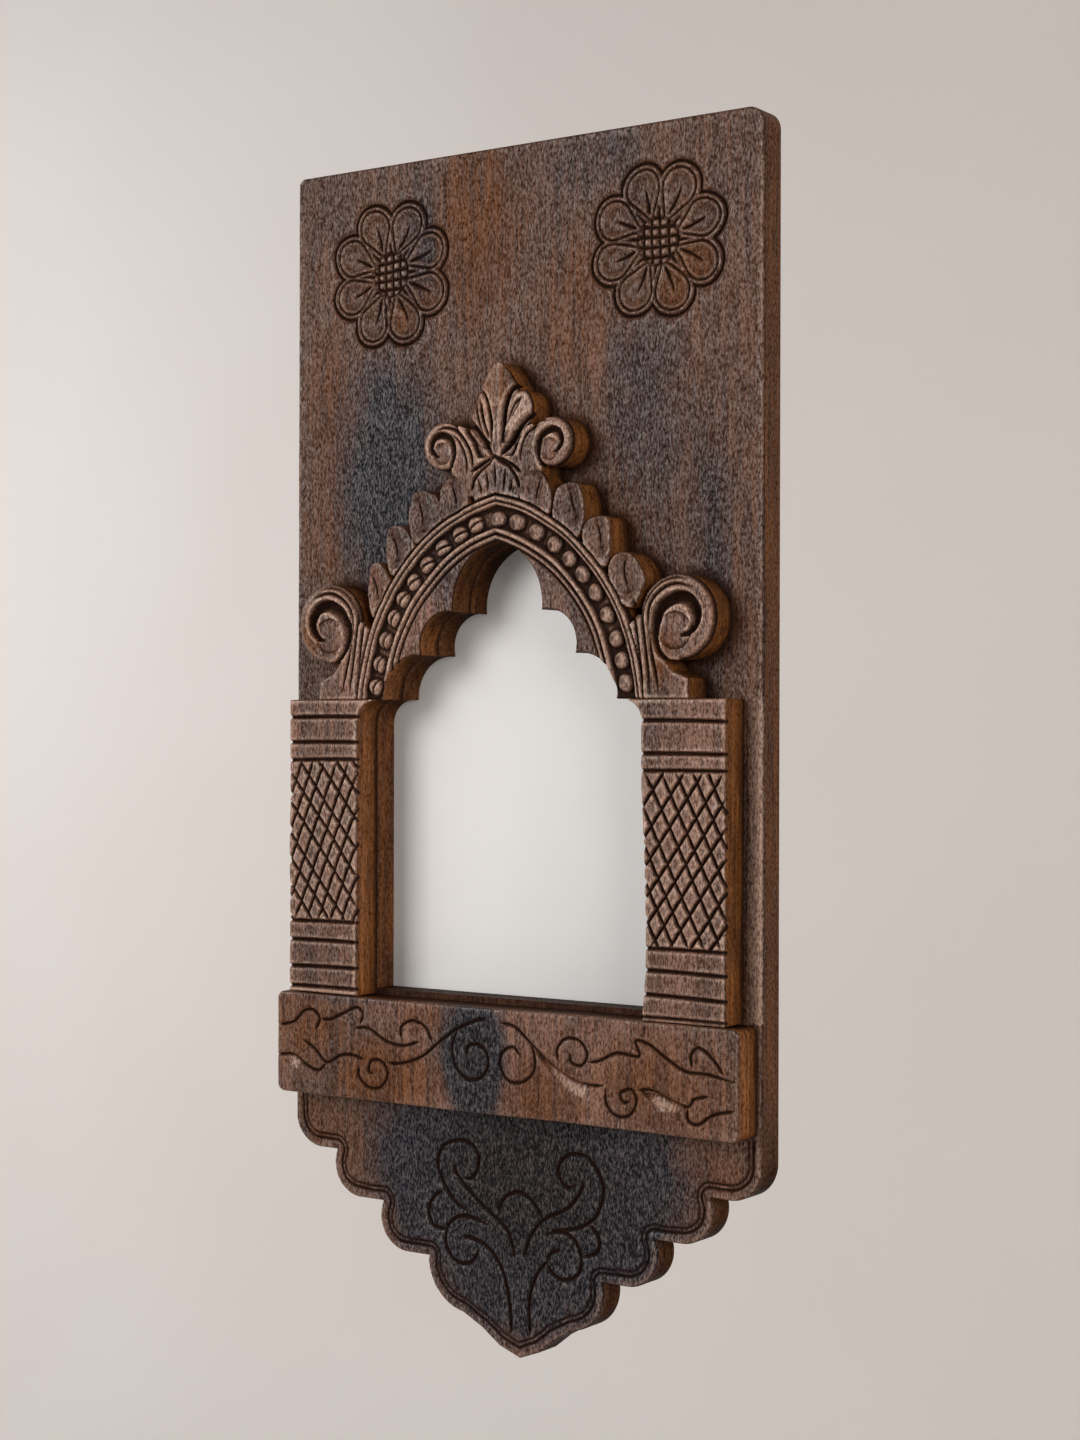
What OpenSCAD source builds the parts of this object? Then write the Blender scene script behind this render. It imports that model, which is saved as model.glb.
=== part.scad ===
// Carved niche wall mirror. A scalloped back board has a window, and an arch, two pillars and a
// sill stand on its front around that window. A mirror lies in a rebate behind it, under a cover.
// X runs across, Z up and Y into the wall. Y = 0 is the wall, and Z = 0 is the line where the
// arch springs from the pillars. Sizes are in millimetres.

/* [Back board] */
// Width of the back board
board_w = 282; // [278:1:290]
// Thickness of the back board
board_t = 16; // [14:0.5:18]
// Height of the board's top edge above the springing line
board_top = 276; // [265:1:290]
// Radius of the two top corners
top_corner_r = 8; // [2:1:12]
// Depth of the apron's tip below the springing line
tip_drop = 327; // [320:1:335]

/* [Frame] */
// Thickness of the arch, pillars and sill
frame_t = 18; // [15:0.5:20]
// Outer radius of each arc of the pointed arch
arch_r = 112; // [110:0.5:114]
// Sideways shift of each arc's centre past the middle, which makes the point
arch_shift = 24.5; // [22:0.5:26]
// Depth of the arcs' centres below the springing line
arch_sink = 7.6; // [6:0.2:9]
// Distance from the middle to a pillar's inner side
pillar_in = 86.5; // [84:0.5:88]
// Distance from the middle to a pillar's outer side
pillar_out = 131.3; // [126:0.1:134]
// Height of the pillars
pillar_h = 151.5; // [145:0.5:160]
// Width of the sill
sill_w = 277.2; // [270:0.2:282]
// Height of the sill
sill_h = 53; // [45:1:56]

/* [Carving] */
// Radius of a bead in the arch's channel
bead_r = 4; // [3:0.5:4.5]
// Beads on each side of the middle one
bead_count = 10; // [8:1:11]
// Depth of the channel that the beads lie in
channel_d = 2.5; // [1:0.5:3]
// Depth of the grooves across the pillars
groove_d = 1.5; // [0.5:0.5:2]
// Petals on each rosette
petal_count = 8; // [6:1:10]

/* [Mirror and cover] */
// Thickness of the mirror
glass_t = 2; // [2:0.5:3]
// Thickness of the hardboard cover
cover_t = 3; // [3:0.5:4]
// Overlap of the mirror behind the window's edge
glass_lap = 4.5; // [3:0.5:6]

/* [Fixings] */
// Length of the screws that hold the arch, pillars and sill
frame_screw_l = 25; // [20:1:26]
// Radius of those screws
frame_screw_r = 1.75; // [1.5:0.25:2]
// Length of the screws that hold the cover
cover_screw_l = 13; // [10:1:14]
// Radius of the entry hole of a hanging plate
keyhole_entry_r = 4.5; // [4:0.5:5]
// Half the width of a hanging plate's slot
keyhole_slot_r = 2.25; // [2:0.25:2.5]
// Distance from the middle to each hanging plate
plate_x = 95; // [80:1:110]

/* [Hidden] */
$fn = 72;

// Layers from the wall outwards
board_back = -cover_t;
board_front = board_back - board_t;
frame_front = board_front - frame_t;

// Apron lobes on one side, each as x, z and radius, from the board's corner to the tip
apron_lobes = [[124, -218, 17], [97.5, -241.5, 17], [67, -266, 17], [30.5, -286.5, 22.5]];
// Straight flank from the last lobe to the tip
flank = [[39, -306], [22, -315], [12, -322.5]];
flank_top = -270;

// Opening lobes on one side, each as x, z and radius, and the pointed pair at its head
opening_lobes = [[49.5, 1.5, 20.8], [30.5, 27, 16.8]];
head_lobe = [4.5, 46.5, 31.5];
opening_corner_r = 12.5;
// How far the board stands up past the sill, under the window
lip_h = 2.5;

// Mouldings of the arch, measured from each arc's centre
channel_out_r = arch_r - 6;
channel_in_r = arch_r - 15.5;
bead_line_r = arch_r - 11;
first_bead_a = 8.1;
last_bead_a = 68.3;
bead_step_a = (last_bead_a - first_bead_a) / (bead_count - 1);
bead_crown_z = 88;

// Leaves along the arch's back
leaf_angles = [37, 47, 57.5, 67];
leaf_rise = 18;
leaf_half_w = 8.5;

// Volutes at the arch's feet and scrolls at the finial
volute_x = 104.5;
volute_z = 38.8;
volute_r = 20.1;
scroll_x = 32.5;
scroll_z = 125.5;
scroll_r = 12.3;
finial_mid_z = 140;
finial_half_l = 26;

// Pillar bands and lattice panel
band_grooves = [9, 23, 31.5, 115.5, 126, 138.5, 149];
groove_w = 1.8;
panel_top = 33;
panel_low = 114;
lattice_pitch = 11;

// Rosettes
rosette_x = 82.5;
rosette_z = 220.5;
petal_line_r = 24;
petal_r = 8;
petal_d = 1.2;

// Rebate, mirror and cover behind the window
gap = 0.5;
rebate_half_w = pillar_in + glass_lap + gap;
rebate_top = 77.7 + glass_lap;
rebate_low = -pillar_h - glass_lap;
cover_half_w = rebate_half_w + 9;
cover_top = rebate_top + 9;
cover_low = rebate_low - 9;

// Screws: head radius and height, clearance around a screw, and where each one goes
head_r = 3.4;
head_h = 2.2;
small_screw_r = 1.5;
small_head_r = 2.8;
plate_screw_l = 12;
fit_gap = 0.05;
arch_screw_at = [[0, 102], [0, 140], [-volute_x, volute_z], [volute_x, volute_z]];
pillar_screw_at = [for (x = [-115, 115], z = [-38, -120]) [x, z]];
sill_screw_at = [for (x = [-110, -40, 40, 110]) [x, -183]];
cover_screw_at = [
    for (x = [-cover_half_w + 4.5, cover_half_w - 4.5], z = [cover_low + 12, cover_top - 12])
        [x, z],
    for (x = [-cover_half_w + 4.5, cover_half_w - 4.5]) [x, -40],
    [0, cover_top - 4.5],
    [0, cover_low + 4.5]];

// Hanging plates
plate_w = 16;
plate_h = 44;
plate_t = 1.5;
plate_z = 242;
slot_l = 10;
keyhole_pocket_d = 7;
plate_screw_dz = 16;
plate_screw_at = [for (x = [-plate_x, plate_x], dz = [-1, 1]) [x, plate_z + dz * plate_screw_dz]];

// Pads that keep the apron off the wall
pad_x = 62;
pad_z = -258;
pad_r = 9;

// A flat shape drawn in X and Z, standing from y towards the viewer by t
module slab(y, t) {
    translate([0, y, 0]) rotate([90, 0, 0]) linear_extrude(t) children();
}

// The shape and its mirror image on the left
module both_sides() {
    children();
    mirror([1, 0]) children();
}

module box_2d(x0, x1, z0, z1) {
    translate([x0, z0]) square([x1 - x0, z1 - z0]);
}

module disc_2d(x, z, r) {
    translate([x, z]) circle(r);
}

// Pointed oval standing on its widest line, half_l high and half_w to each side
module leaf_2d(half_l, half_w) {
    r = (half_l * half_l + half_w * half_w) / (2 * half_w);
    intersection() {
        disc_2d(r - half_w, 0, r);
        disc_2d(half_w - r, 0, r);
    }
}

// Pointed arch whose two arcs have radius r
module arch_2d(r) {
    intersection() {
        disc_2d(-arch_shift, -arch_sink, r);
        disc_2d(arch_shift, -arch_sink, r);
        box_2d(-r, r, 0, r);
    }
}

// The window: a cusped head over a straight-sided opening
module opening_2d() {
    intersection() {
        disc_2d(-head_lobe[0], head_lobe[1], head_lobe[2]);
        disc_2d(head_lobe[0], head_lobe[1], head_lobe[2]);
    }
    both_sides() {
        for (lobe = opening_lobes) disc_2d(lobe[0], lobe[1], lobe[2]);
        disc_2d(pillar_in - opening_corner_r, -opening_corner_r, opening_corner_r);
    }
    box_2d(-28, 28, -20, 43);
    box_2d(-47, 47, -20, 22);
    box_2d(opening_corner_r - pillar_in, pillar_in - opening_corner_r, -pillar_h, 0);
    box_2d(-pillar_in, pillar_in, -pillar_h, -opening_corner_r);
}

module board_2d() {
    half_w = board_w / 2;
    first = apron_lobes[0];
    difference() {
        union() {
            box_2d(-half_w, half_w, first[1], board_top - top_corner_r);
            box_2d(top_corner_r - half_w, half_w - top_corner_r, 0, board_top);
            both_sides() {
                disc_2d(half_w - top_corner_r, board_top - top_corner_r, top_corner_r);
                for (lobe = apron_lobes) disc_2d(lobe[0], lobe[1], lobe[2]);
            }
            for (i = [0:len(apron_lobes) - 2]) lobe_fill_2d(apron_lobes[i], first[1]);
            tip_2d();
        }
        opening_2d();
    }
    box_2d(-pillar_in, pillar_in, -pillar_h - lip_h, -pillar_h + lip_h);
}

// The apron between a pair of lobes, from their lowest points up to top
module lobe_fill_2d(lobe, top) {
    box_2d(-lobe[0], lobe[0], lobe[1] - lobe[2], top);
}

// The apron's pointed end, from just above the last lobes' feet down to the tip
module tip_2d() {
    right_side = [for (i = [len(flank) - 1:-1:0]) flank[i]];
    left_side = [for (p = flank) [-p[0], p[1]]];
    top = [[flank[0][0], flank_top], [-flank[0][0], flank_top]];
    polygon(concat([[0, -tip_drop]], right_side, top, left_side));
}

// A round screw or its hole, from a head at the origin down to a point at -Y
module screw_shape(l, r, r_head, grow) {
    rotate([90, 0, 0]) rotate_extrude()
        polygon([[0, 0], [r_head + grow, 0], [r + grow, head_h], [r + grow, l - 3], [0, l + grow]]);
}

module screws(places, y, l, r, r_head) {
    for (p = places) translate([p[0], y, p[1]]) difference() {
        screw_shape(l, r, r_head, 0);
        for (a = [0, 90]) rotate([0, a, 0]) cube([r_head * 1.1, 2, 0.7], center = true);
    }
}

module screw_holes(places, y, l, r, r_head) {
    for (p = places) translate([p[0], y, p[1]]) screw_shape(l, r, r_head, fit_gap);
}

// Holes for the screws that go through the board's back into the frame pieces
module frame_screw_holes() {
    for (places = [arch_screw_at, pillar_screw_at, sill_screw_at])
        screw_holes(places, board_back, frame_screw_l, frame_screw_r, head_r);
}

module petal_hollows(x) {
    for (i = [0:petal_count - 1]) {
        a = 20 + 360 / petal_count * i;
        disc_2d(x + petal_line_r * cos(a), rosette_z + petal_line_r * sin(a), petal_r);
    }
}

module backboard() {
    color("#4a3428") difference() {
        slab(board_back, board_t) board_2d();
        slab(board_back + 1, glass_t + 1)
            box_2d(-rebate_half_w, rebate_half_w, rebate_low, rebate_top);
        slab(board_front + petal_d, petal_d + 1) both_sides() petal_hollows(rosette_x);
        for (x = [-plate_x, plate_x]) {
            slab(board_back + 1, plate_t + 1) translate([x, plate_z]) plate_2d(0.2);
            slab(board_back + 1, keyhole_pocket_d + 1) translate([x, plate_z]) {
                circle(keyhole_entry_r + 0.5);
                box_2d(-keyhole_entry_r - 0.5, keyhole_entry_r + 0.5, 0, slot_l);
            }
        }
        frame_screw_holes();
        screw_holes(cover_screw_at, 0, cover_screw_l, small_screw_r, small_head_r);
        screw_holes(plate_screw_at, board_back, plate_screw_l, small_screw_r, small_head_r);
    }
}

module volute_2d() {
    disc_2d(volute_x, volute_z, volute_r);
    polygon([[80, 0], [111, 0], [111, 9], [101, 13], [104, 22], [90, 40], [78, 40]]);
}

module finial_2d() {
    translate([0, finial_mid_z]) leaf_2d(finial_half_l, 9.5);
    both_sides() {
        translate([9, 130]) rotate(-24) leaf_2d(23, 7);
        disc_2d(scroll_x, scroll_z, scroll_r);
    }
    polygon([[-22, 100], [22, 100], [28, 115], [26, 136], [12, 131], [0, 140], [-12, 131],
        [-26, 136], [-28, 115]]);
}

module crest_2d() {
    difference() {
        union() {
            arch_2d(arch_r);
            both_sides() {
                for (a = leaf_angles)
                    translate([-arch_shift, -arch_sink]) rotate(a - 90)
                        translate([0, arch_r - 1]) leaf_2d(leaf_rise, leaf_half_w);
                volute_2d();
            }
            disc_2d(0, 103.5, 14.5);
            finial_2d();
        }
        opening_2d();
        box_2d(-board_w, board_w, -board_w, 0);
    }
}

// One bead at an angle along the right-hand arc
module bead(a) {
    translate([bead_line_r * cos(a) - arch_shift, 0, bead_line_r * sin(a) - arch_sink])
        sphere(bead_r);
}

module beads() {
    translate([0, frame_front + bead_r, 0]) {
        for (side = [0, 1]) mirror([side, 0, 0])
            for (i = [0:bead_count - 1]) bead(first_bead_a + bead_step_a * i);
        translate([0, 0, bead_crown_z]) sphere(bead_r);
    }
}

module arch_crest() {
    color("#5c4034") {
        difference() {
            slab(board_front, frame_t) crest_2d();
            slab(frame_front + channel_d, channel_d + 1) difference() {
                arch_2d(channel_out_r);
                arch_2d(channel_in_r);
            }
            frame_screw_holes();
        }
        beads();
    }
}

// Two crossing sets of diagonal grooves, kept inside the panel
module lattice_2d() {
    intersection() {
        box_2d(pillar_in - 1, pillar_out + 1, -panel_low, -panel_top);
        for (lean = [-28, 28], i = [-6:6])
            translate([(pillar_in + pillar_out) / 2 + i * lattice_pitch,
                -(panel_top + panel_low) / 2])
                rotate(lean) square([groove_w - 0.3, 2 * panel_low], center = true);
    }
}

// The right-hand pillar, without its colour
module pillar_shape() {
    difference() {
        slab(board_front, frame_t) difference() {
            box_2d(pillar_in - opening_corner_r, pillar_out, -pillar_h, 0);
            opening_2d();
        }
        slab(frame_front + groove_d, groove_d + 1) {
            for (z = band_grooves) box_2d(pillar_in - 20, pillar_out + 1, -z - groove_w, -z);
            lattice_2d();
        }
        frame_screw_holes();
    }
}

module right_pillar() {
    color("#5c4034") pillar_shape();
}

module left_pillar() {
    color("#5c4034") mirror([1, 0, 0]) pillar_shape();
}

module sill_rail() {
    r = 4;
    half_w = sill_w / 2;
    top = -pillar_h;
    color("#553a2e") difference() {
        slab(board_front, frame_t) {
            box_2d(-half_w, half_w, top - sill_h + r, top - r);
            box_2d(r - half_w, half_w - r, top - sill_h, top);
            for (x = [r - half_w, half_w - r], z = [top - r, top - sill_h + r]) disc_2d(x, z, r);
        }
        frame_screw_holes();
    }
}

module mirror_glass() {
    color("#dedbd7") slab(board_back, glass_t)
        box_2d(gap - rebate_half_w, rebate_half_w - gap, rebate_low + gap, rebate_top - gap);
}

module back_cover() {
    color("#8a6a4a") difference() {
        slab(0, cover_t) box_2d(-cover_half_w, cover_half_w, cover_low, cover_top);
        screw_holes(cover_screw_at, 0, cover_screw_l, small_screw_r, small_head_r);
    }
}

module arch_screws() {
    color("silver") screws(arch_screw_at, board_back, frame_screw_l, frame_screw_r, head_r);
}

module pillar_screws() {
    color("silver") screws(pillar_screw_at, board_back, frame_screw_l, frame_screw_r, head_r);
}

module sill_screws() {
    color("silver") screws(sill_screw_at, board_back, frame_screw_l, frame_screw_r, head_r);
}

module cover_screws() {
    color("silver") screws(cover_screw_at, 0, cover_screw_l, small_screw_r, small_head_r);
}

module plate_screws() {
    color("silver")
        screws(plate_screw_at, board_back, plate_screw_l, small_screw_r, small_head_r);
}

// Outline of a hanging plate, round at both ends and larger by grow
module plate_2d(grow) {
    end_z = (plate_h - plate_w) / 2;
    box_2d(-plate_w / 2 - grow, plate_w / 2 + grow, -end_z, end_z);
    for (z = [-end_z, end_z]) disc_2d(0, z, plate_w / 2 + grow);
}

module hanging_plate(x) {
    color("darkgray") difference() {
        slab(board_back, plate_t) translate([x, plate_z]) difference() {
            plate_2d(0);
            circle(keyhole_entry_r);
            box_2d(-keyhole_slot_r, keyhole_slot_r, 0, slot_l);
            disc_2d(0, slot_l, keyhole_slot_r);
        }
        screw_holes(plate_screw_at, board_back, plate_screw_l, small_screw_r, small_head_r);
    }
}

module left_hanging_plate() {
    hanging_plate(-plate_x);
}

module right_hanging_plate() {
    hanging_plate(plate_x);
}

module wall_pad(x) {
    color("dimgray") slab(0, cover_t) disc_2d(x, pad_z, pad_r);
}

module left_wall_pad() {
    wall_pad(-pad_x);
}

module right_wall_pad() {
    wall_pad(pad_x);
}

backboard();
arch_crest();
left_pillar();
right_pillar();
sill_rail();
mirror_glass();
back_cover();
arch_screws();
pillar_screws();
sill_screws();
cover_screws();
left_hanging_plate();
right_hanging_plate();
plate_screws();
left_wall_pad();
right_wall_pad();
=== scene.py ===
"""Looks of the carved niche wall mirror: carved relief meshes, stained wood, mirror, studio.

The carving is worked out in millimetres in the frame's own X and Z, as a height over each
piece's front face, and becomes a closed mesh in metres.
"""
import math

import bmesh
import bpy
import numpy as np
from mathutils import Matrix, Vector
from mathutils.geometry import tessellate_polygon


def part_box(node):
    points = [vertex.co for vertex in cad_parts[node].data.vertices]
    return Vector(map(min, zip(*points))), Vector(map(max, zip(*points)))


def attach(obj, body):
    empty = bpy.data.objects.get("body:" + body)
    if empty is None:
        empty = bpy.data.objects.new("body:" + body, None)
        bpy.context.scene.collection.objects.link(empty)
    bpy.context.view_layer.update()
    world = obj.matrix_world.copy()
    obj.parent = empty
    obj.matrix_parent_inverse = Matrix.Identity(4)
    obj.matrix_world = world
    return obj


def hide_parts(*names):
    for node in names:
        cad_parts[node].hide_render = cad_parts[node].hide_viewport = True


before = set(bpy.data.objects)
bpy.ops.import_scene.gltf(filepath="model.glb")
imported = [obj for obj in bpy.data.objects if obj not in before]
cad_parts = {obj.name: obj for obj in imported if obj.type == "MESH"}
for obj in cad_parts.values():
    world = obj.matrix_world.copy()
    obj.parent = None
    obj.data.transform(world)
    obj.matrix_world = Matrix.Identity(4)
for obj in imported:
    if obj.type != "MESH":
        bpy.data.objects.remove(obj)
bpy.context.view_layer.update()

MM = 0.001
FAR = 99.0
SHARP_DEGREES = 50
BODY = "root"


def node_mm(node):
    """Lowest and highest corner of a CAD node, in millimetres."""
    low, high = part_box(node)
    return np.array(low) / MM, np.array(high) / MM


board_low, board_high = node_mm("backboard")
pillar_low, pillar_high = node_mm("right_pillar")
sill_low, sill_high = node_mm("sill_rail")
glass_low, glass_high = node_mm("mirror_glass")
plate_low, plate_high = node_mm("right_hanging_plate")

# A hair's gap, so that faces which would touch don't flicker
HAIR = 0.02
BOARD_FRONT = board_low[1]
BOARD_BACK = board_high[1] - HAIR
FRAME_FRONT = pillar_low[1]
GLASS_FRONT = glass_low[1]
TIP_Z = board_low[2]
# The pocket behind each hanging plate's keyhole
KEYHOLE_R = 5.0
SLOT_L = 10
POCKET_D = 7

# The pointed arch: both arcs' centres lie ARC_SHIFT past the middle and ARC_SINK below z = 0
ARC_SHIFT = 24.5
ARC_SINK = 7.6
ARCH_R = 112.0
PILLAR_IN = 86.5
CORNER_R = 12.5
# How far the board stands up past the sill, and its top corners' radii, left and right
LIP = 2.5
TOP_CORNERS = (4, 9)
# Lobes as x, z and radius
HEAD_LOBE = (4.5, 46.5, 31.5)
OPENING_LOBES = [(49.5, 1.5, 20.8), (30.5, 27, 16.8)]
APRON_LOBES = [(124, -218, 17), (97.5, -241.5, 17), (67, -266, 17), (30.5, -286.5, 22.5)]
FLANK = [(39, -306), (22, -315), (12, -322.5)]
# How far past an outline a grid point still counts as on it
ON_RIM = 0.7
ROSETTES = [(-79.5, 219.5), (82.5, 219.5)]
VOLUTES = [(-105.0, 39.2, 20.2), (104.3, 38.2, 20.2)]
SCROLLS = [(-32.2, 126.2, 12.2), (32.8, 124.8, 12.2)]


# ---- plane geometry, in millimetres ----


def smooth(points, closed=False, steps=5):
    """A rounded line through given points."""
    p = np.array(points, float)
    if closed:
        p = np.vstack([p[-1], p, p[:2]])
    else:
        p = np.vstack([2 * p[0] - p[1], p, 2 * p[-1] - p[-2]])
    t = np.linspace(0, 1, steps, endpoint=False)[:, None]
    line = []
    for a, b, c, d in zip(p[:-3], p[1:-2], p[2:-1], p[3:]):
        bend = (2 * a - 5 * b + 4 * c - d) * t**2 + (3 * b - a - 3 * c + d) * t**3
        line.append(0.5 * (2 * b + (c - a) * t + bend))
    if not closed:
        line.append(p[-2][None])
    return np.vstack(line)


def disc(x, z, cx, cz, r):
    return np.hypot(x - cx, z - cz) - r


def block(x, z, x0, x1, z0, z1, r=0.0):
    dx = np.abs(x - (x0 + x1) / 2) - (x1 - x0) / 2 + r
    dz = np.abs(z - (z0 + z1) / 2) - (z1 - z0) / 2 + r
    return np.hypot(dx.clip(0), dz.clip(0)) + np.maximum(dx, dz).clip(None, 0) - r


def polygon(x, z, loop):
    """Signed distance to a closed loop, measured only near it."""
    loop = np.asarray(loop, float)
    out = np.full(x.shape, FAR)
    low, high = loop.min(0) - 4, loop.max(0) + 4
    near = (x > low[0]) & (x < high[0]) & (z > low[1]) & (z < high[1])
    px, pz = x[near], z[near]
    best = np.full(px.shape, FAR**2)
    inside = np.zeros(px.shape, bool)
    for a, b in zip(loop, np.roll(loop, -1, axis=0)):
        e = b - a
        t = (((px - a[0]) * e[0] + (pz - a[1]) * e[1]) / max(e @ e, 1e-9)).clip(0, 1)
        best = np.minimum(best, (px - a[0] - t * e[0]) ** 2 + (pz - a[1] - t * e[1]) ** 2)
        spans = (a[1] > pz) != (b[1] > pz)
        if e[1]:
            inside ^= spans & (px < a[0] + (pz - a[1]) * e[0] / e[1])
    out[near] = np.sqrt(best) * np.where(inside, -1, 1)
    return out


def any_of(*distances):
    return np.minimum.reduce(distances)


def rounded(x, z, loops):
    """Signed distance to the union of some loops, each rounded."""
    return any_of(*[polygon(x, z, smooth(loop, closed=True)) for loop in loops])


def soft_noise(x, z, cell, seed):
    """Smooth unevenness between -1 and 1, its bumps cell mm apart."""
    rng = np.random.default_rng(seed)
    grid = rng.uniform(-1, 1, (200, 200))
    u, v = x / cell + 60, z / cell + 60
    i, j = np.floor(u).astype(int) % 198, np.floor(v).astype(int) % 198
    s, t = u - np.floor(u), v - np.floor(v)
    s, t = s * s * (3 - 2 * s), t * t * (3 - 2 * t)
    low = grid[i, j] * (1 - s) + grid[i + 1, j] * s
    high = grid[i, j + 1] * (1 - s) + grid[i + 1, j + 1] * s
    return low * (1 - t) + high * t


def arc_radius(x, z):
    """Distance from the centre of the arc on a point's own side."""
    return np.hypot(np.abs(x) + ARC_SHIFT, z + ARC_SINK)


def arc_point(side, r, degrees):
    a = math.radians(degrees)
    return side * (r * math.cos(a) - ARC_SHIFT), r * math.sin(a) - ARC_SINK


# ---- outlines ----


def opening(x, z):
    """The window: a cusped head over a straight-sided opening."""
    ax = np.abs(x)
    head = np.maximum(disc(x, z, -HEAD_LOBE[0], *HEAD_LOBE[1:]), disc(x, z, *HEAD_LOBE))
    corner = PILLAR_IN - CORNER_R
    return any_of(
        head,
        *[disc(ax, z, *lobe) for lobe in OPENING_LOBES],
        disc(ax, z, corner, -CORNER_R, CORNER_R),
        block(x, z, -28, 28, -20, 43),
        block(x, z, -47, 47, -20, 22),
        block(x, z, -corner, corner, sill_high[2], 0),
        block(x, z, -PILLAR_IN, PILLAR_IN, sill_high[2], -CORNER_R),
    )


def board_outline(x, z):
    """The plank with its scalloped apron, less the window."""
    half_w, top = board_high[0], board_high[2]
    lean = 3.5 * ((-z - 285) / 40).clip(0, 1)
    x = x - lean
    ax = np.abs(x)
    tip = [(0, TIP_Z), *reversed(FLANK), (39, -270)]
    tip += [(-px, pz) for px, pz in reversed(tip[1:])]
    low_z = APRON_LOBES[0][1]
    corner = np.where(x < 0, *TOP_CORNERS)
    plank = any_of(
        block(x, z, -half_w, half_w, low_z, top, corner),
        block(x, z, -half_w, half_w, low_z, 0),
        *[disc(ax, z, *lobe) for lobe in APRON_LOBES],
        *[block(x, z, -lx, lx, lz - r, low_z + 5) for lx, lz, r in APRON_LOBES[:3]],
        polygon(x, z, tip),
    )
    window = np.maximum(opening(x, z), sill_high[2] + LIP - z)
    return np.maximum(plank, -window)


# Leaves along the arch's back, from its crown down each side
LEAVES = [
    [(15, 95), (15.5, 105), (19, 109.5), (25, 110.5), (29, 107.5), (33, 100), (32, 90), (22, 90)],
    [(34, 88), (35, 99), (38, 103), (44, 104.7), (49, 102.5), (51.5, 96), (52, 88), (49, 78),
     (40, 82)],
    [(51, 77), (53, 85), (57, 87.3), (62, 87.6), (66, 85.5), (66.8, 79), (67, 71), (64.5, 63),
     (57, 68)],
    [(66, 60), (68, 67), (72, 69.6), (77, 69.2), (82, 65.5), (86.5, 57), (84, 49), (79, 43),
     (72, 47)],
    [(-32.5, 90), (-34.5, 100), (-33, 107), (-28, 110.8), (-23, 109), (-19, 105), (-16.5, 96), (-24, 90)],
    [(-50.5, 79), (-53.8, 88), (-54, 96), (-52.5, 103), (-47, 105), (-41, 104), (-36, 101), (-33, 94),
     (-33.5, 87), (-42, 79)],
    [(-65, 63), (-68, 72), (-69, 80), (-68, 86.5), (-63, 88.2), (-57, 86.8), (-52, 81), (-50, 75),
     (-57, 66)],
    [(-76, 41), (-80, 51), (-80.5, 60), (-79.5, 67), (-75.5, 69.7), (-71, 68.5), (-66.5, 62), (-64, 56),
     (-70, 46)],
]
# Each leaf's centre slit, from its tip down to the arch
SLITS = [
    [(26, 108), (24, 102), (23, 95)],
    [(43, 102), (44, 95), (47, 87)],
    [(58, 85.5), (60, 79), (61, 72)],
    [(75, 68), (74, 60), (77, 50)],
    [(-28.5, 108), (-26, 101), (-25, 95)],
    [(-50, 101.5), (-47, 94), (-45.5, 84)],
    [(-66, 84), (-63, 78), (-61.5, 70)],
    [(-79, 64), (-76, 58), (-74.5, 51)],
]
STEM_FOOT = [(80, 0), (111, 0), (110.5, 9.5), (102, 13), (97, 19), (100, 26), (84, 40), (77, 34)]
FINIAL_LEAF = [(-13, 128), (-11, 146), (-9.8, 154), (-4.5, 161.5), (2, 165.6), (7, 161.5), (11, 155),
               (14, 147), (17, 135), (8, 116), (-6, 116)]
FINIAL_LEFT = [(-17, 132), (-15.5, 143), (-13.5, 149.5), (-10, 152.3), (-6, 148), (-2, 135), (-6, 124)]
FINIAL_RIGHT = [(5, 126), (6, 141), (10, 148.5), (16, 151), (20, 147.6), (21.6, 141.5), (18, 133)]
NECK = [(-26.5, 112), (-20, 100), (20, 100), (27.5, 111), (27, 127), (22, 134), (12, 131),
        (-12, 131), (-22, 136), (-28, 124)]


def crest_outline(x, z):
    """The arch with its leaves, volutes and finial, less the window."""
    wood = any_of(
        arc_radius(x, z) - ARCH_R,
        rounded(x, z, [*LEAVES, FINIAL_LEAF, FINIAL_LEFT, FINIAL_RIGHT]),
        *[disc(x, z, *circle) for circle in VOLUTES + SCROLLS],
        polygon(np.abs(x), z, STEM_FOOT),
        disc(x, z, 0.5, 103.5, 14.5),
        polygon(x, z, NECK),
    )
    return np.maximum.reduce([wood, -opening(x, z), -z])


# How far the right pillar's inner side strays outwards, by height
PILLAR_BOW = [(-151, -0.6), (-130, 1.2), (-112, 1.5), (-70, 0.2), (-40, -1.4), (-15, -1.6), (0, 0.0)]


def pillar_outline(side):
    def outline(x, z):
        sway = 0.3 + 0.3 * soft_noise(x * 0 + side * 50, z, 34, 5)
        inner, outer = PILLAR_IN - CORNER_R, pillar_high[0]
        post = block(side * x + sway * (side * x > 100), z, inner, outer, pillar_low[2], 0, 0.6)
        bow = np.interp(z, *zip(*PILLAR_BOW)) if side > 0 else 0.0
        return np.maximum(post, -opening(x - bow, z))
    return outline


def sill_outline(x, z):
    wave = 0.3 * soft_noise(x, z * 0, 45, 8)
    return block(x, z + wave, sill_low[0], sill_high[0], sill_low[2] + 0.4, sill_high[2] - 0.4, 4)


# ---- relief: a height over the front face on a grid, and the closed mesh made from it ----


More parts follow.
